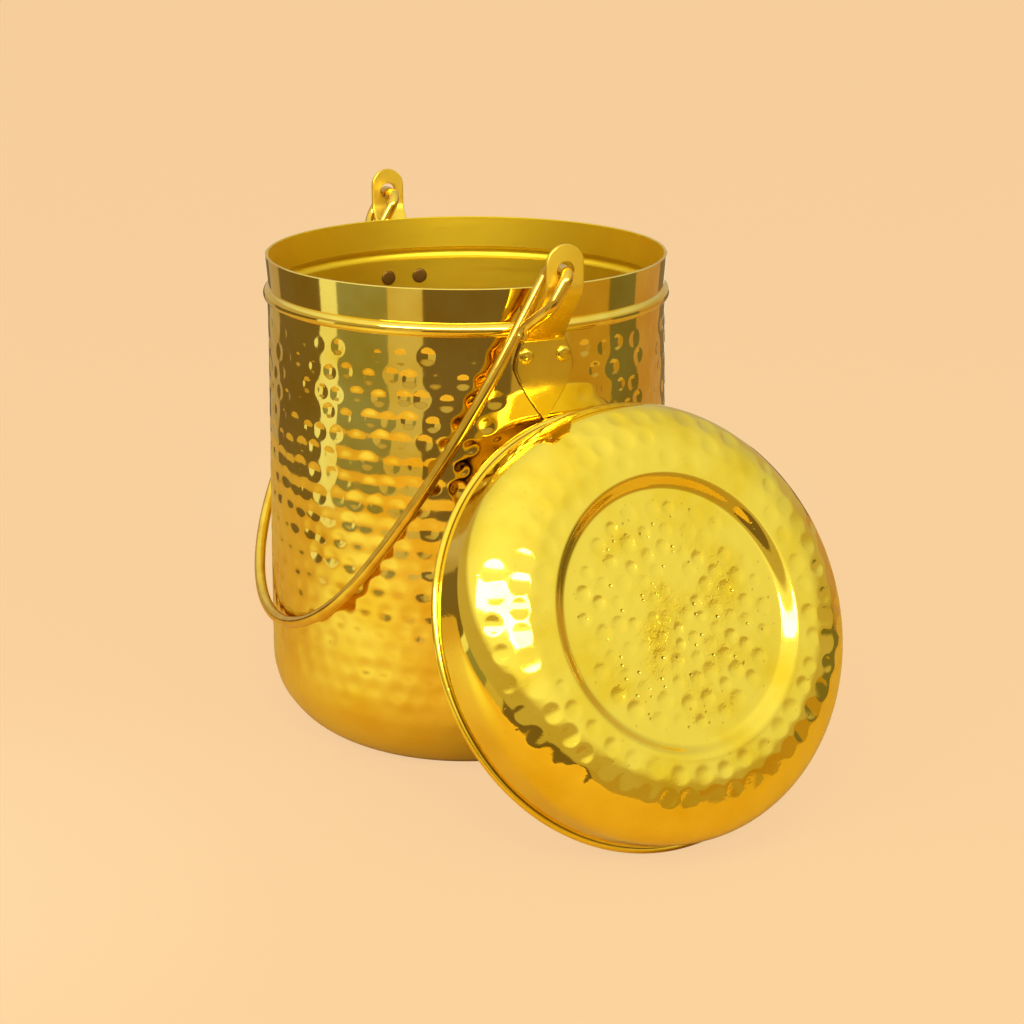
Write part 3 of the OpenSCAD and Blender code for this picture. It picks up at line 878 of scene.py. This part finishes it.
# stage: one peach floor that runs out to a backdrop of the same colour, under a white tent of light,
# turns in degrees from the camera's side and lengths in metres
studio = {
    "peach": "#FDD4A2", "room": "#CDBBA2",
    "lit": 0.88,  # share of the floor's look to the camera that is plain peach, with no shadow on it
    # the paper as the metal sees it, paler in pools of light: turn, distance, core, end
    "paper": "#B99750", "pool": "#CFC68E", "pools": ((-56, 0.25, 0.02, 0.19), (176, 0.28, 0.02, 0.2)),
    "tent": {"turn": -20, "rise": 40, "mean": 0.84, "swing": 0.44, "least": 0.5, "most": 2.1, "blur": 0.3,
             "edgeTurn": 80, "edgeRise": 86, "from": 15.5, "full": 23},
    "aim": (0, -0.03, 0.09),  # what the windows face, between pot and lid
    "windows": ({"turn": -14, "rise": 37, "away": 1.0, "size": (1.25, 0.23), "radiance": 13.0},
                {"turn": 29, "rise": 29, "away": 1.0, "size": (0.44, 0.12), "radiance": 13.0}),
    # cards that lie on the floor and turn up at the far edge, seen by the metal alone:
    # from, to, near edge, rise of the far edge, colour
    "cards": ((-131, -87.5, 0.4, 0.08, "#7E6A4C"), (-87.5, -75, 0.38, 0.08, "#FFFFFF"),
              (-75, -43, 0.49, 0.08, "#9C9A90"), (-43, -23.5, 0.48, 0.08, "#DAC8AA"),
              (-23.5, 23.5, 0.42, 0.06, "#7C6959"), (23.5, 56, 0.3, 0.06, "#C4A87A"),
              (56, 84.5, 0.43, 0.2, "#C49B50"), (84.5, 108, 0.4, 0.2, "#80785E"),
              (108, 142, 0.43, 0.2, "#C99F6E"), (142, 158, 0.43, 0.1, "#8A7350"),
              (158, 176, 0.4, 0.1, "#F4E8D0"), (176, 208, 0.43, 0.1, "#7A6A50"),
              (208, 229, 0.43, 0.1, "#BDA67C")),
    "cardEnd": 2.0, "cardLift": 0.0005,
}


# a unit vector at a turn from the camera's side and a rise above the floor
def pointing(turn, rise):
    turn, rise = math.radians(turn - photoCamera["turn"]), math.radians(rise)
    return Vector((math.sin(turn) * math.cos(rise), -math.cos(turn) * math.cos(rise), math.sin(rise)))


def makeFloor(given):
    deselectAll()
    bpy.ops.mesh.primitive_plane_add(size=40)
    floor = bpy.context.object
    floor.name = "floor"
    material, tree = newMaterial("peachPaper")
    ray = addNode(tree, "ShaderNodeLightPath")
    share = addNode(tree, "ShaderNodeMath", {0: ray.outputs["Is Camera Ray"], 1: given["lit"]},
                    operation="MULTIPLY")
    place = addNode(tree, "ShaderNodeTexCoord").outputs["Object"]
    tone = hexToLinear(given["paper"])
    for turn, away, core, end in given["pools"]:
        gap = addNode(tree, "ShaderNodeVectorMath", {0: place, 1: pointing(turn, 0) * away},
                      operation="DISTANCE")
        bright = addNode(tree, "ShaderNodeMapRange", {
            "Value": gap.outputs["Value"], "From Min": core, "From Max": end, "To Min": 1.0, "To Max": 0.0},
            interpolation_type="SMOOTHSTEP")
        mixed = addNode(tree, "ShaderNodeMix", {
            0: bright.outputs[0], 6: tone, 7: hexToLinear(given["pool"])}, data_type="RGBA")
        tone = mixed.outputs[2]
    paper = addNode(tree, "ShaderNodeBsdfDiffuse", {"Color": tone})
    lit = addNode(tree, "ShaderNodeEmission", {"Color": hexToLinear(given["peach"]), "Strength": 1.0})
    seen = addNode(tree, "ShaderNodeMixShader", {
        0: share.outputs[0], 1: paper.outputs[0], 2: lit.outputs[0]})
    addNode(tree, "ShaderNodeOutputMaterial", {"Surface": seen.outputs[0]})
    floor.data.materials.append(material)


# the room: peach to the camera, and to the metal a pale tan wall low down with a white tent above it,
# brightest over the camera's left shoulder
def makeWorld(given):
    world = bpy.data.worlds.new("peachRoom")
    scene.world = world
    world.use_nodes = True
    tree = world.node_tree
    tree.nodes.clear()
    tent = given["tent"]
    way = addNode(tree, "ShaderNodeTexCoord").outputs["Generated"]
    rise = addNode(tree, "ShaderNodeVectorMath", {0: way, 1: pointing(tent["edgeTurn"], tent["edgeRise"])},
                   operation="DOT_PRODUCT")
    above = addNode(tree, "ShaderNodeMapRange", {
        "Value": rise.outputs["Value"], "From Min": math.sin(math.radians(tent["from"])),
        "From Max": math.sin(math.radians(tent["full"]))})
    ray = addNode(tree, "ShaderNodeLightPath")
    facing = addNode(tree, "ShaderNodeVectorMath", {0: way, 1: pointing(tent["turn"], tent["rise"])},
                     operation="DOT_PRODUCT")
    slope = addNode(tree, "ShaderNodeMath", {
        0: facing.outputs["Value"], 1: tent["swing"], 2: tent["mean"]}, operation="MULTIPLY_ADD")
    dimmed = addNode(tree, "ShaderNodeMath", {0: slope.outputs[0], 1: tent["most"], 2: tent["blur"]},
                     operation="SMOOTH_MIN")
    power = addNode(tree, "ShaderNodeMath", {0: dimmed.outputs[0], 1: tent["least"], 2: tent["blur"]},
                    operation="SMOOTH_MAX")
    cloth = addNode(tree, "ShaderNodeBackground", {"Color": (1, 1, 1, 1), "Strength": power.outputs[0]})
    wall = addNode(tree, "ShaderNodeBackground", {"Color": hexToLinear(given["room"]), "Strength": 1.0})
    around = addNode(tree, "ShaderNodeMixShader", {
        0: above.outputs[0], 1: wall.outputs[0], 2: cloth.outputs[0]})
    backdrop = addNode(tree, "ShaderNodeBackground", {
        "Color": hexToLinear(given["peach"]), "Strength": 1.0})
    mixed = addNode(tree, "ShaderNodeMixShader", {
        0: ray.outputs["Is Camera Ray"], 1: around.outputs[0], 2: backdrop.outputs[0]})
    addNode(tree, "ShaderNodeOutputWorld", {"Surface": mixed.outputs[0]})


# a window, as a flat box of soft light that faces the aim
def makeWindow(name, given, aim):
    away = pointing(given["turn"], given["rise"])
    deselectAll()
    bpy.ops.object.light_add(type="AREA", location=Vector(aim) + away * given["away"])
    box = bpy.context.object
    box.name = name
    box.rotation_euler = away.to_track_quat("Z", "Y").to_euler()
    box.data.shape = "RECTANGLE"
    box.data.size, box.data.size_y = given["size"]
    box.data.energy = given["radiance"] * math.pi * given["size"][0] * given["size"][1]


# plain cards, each a curved strip on the floor whose far edge turns up and fades into the room
def makeCards(given):
    material, tree = newMaterial("plainCard")
    own = addNode(tree, "ShaderNodeObjectInfo")
    place = addNode(tree, "ShaderNodeTexCoord").outputs["Object"]
    height = addNode(tree, "ShaderNodeSeparateXYZ", {0: place}).outputs["Z"]
    climbed = addNode(tree, "ShaderNodeMath", {0: height, 1: own.outputs["Alpha"]}, operation="DIVIDE")
    upper = addNode(tree, "ShaderNodeMapRange", {"Value": climbed.outputs[0], "From Min": 0.55})
    faded = addNode(tree, "ShaderNodeMix", {
        0: upper.outputs[0], 6: own.outputs["Color"], 7: hexToLinear(given["room"])}, data_type="RGBA")
    card = addNode(tree, "ShaderNodeEmission", {"Color": faded.outputs[2], "Strength": 1.0})
    addNode(tree, "ShaderNodeOutputMaterial", {"Surface": card.outputs[0]})
    far, lift = given["cardEnd"] / mm, given["cardLift"] / mm
    for number, (start, end, near, rise, colour) in enumerate(given["cards"]):
        section = [(near / mm, lift), (far, lift), (far, rise / mm)]
        piece = spinSection("card%d" % number, section, 16, end - start)
        piece.rotation_euler = (0, 0, math.radians(start - photoCamera["turn"] - 90))
        piece.data.materials.append(material)
        piece.color = hexToLinear(colour)[:3] + [rise]  # its alpha carries the rise to the material
        piece.visible_camera = False
        piece.visible_diffuse = False
        piece.visible_shadow = False


makeFloor(studio)
makeWorld(studio)
for number, window in enumerate(studio["windows"]):
    makeWindow("window%d" % number, window, studio["aim"])
makeCards(studio)
print("stage lit")
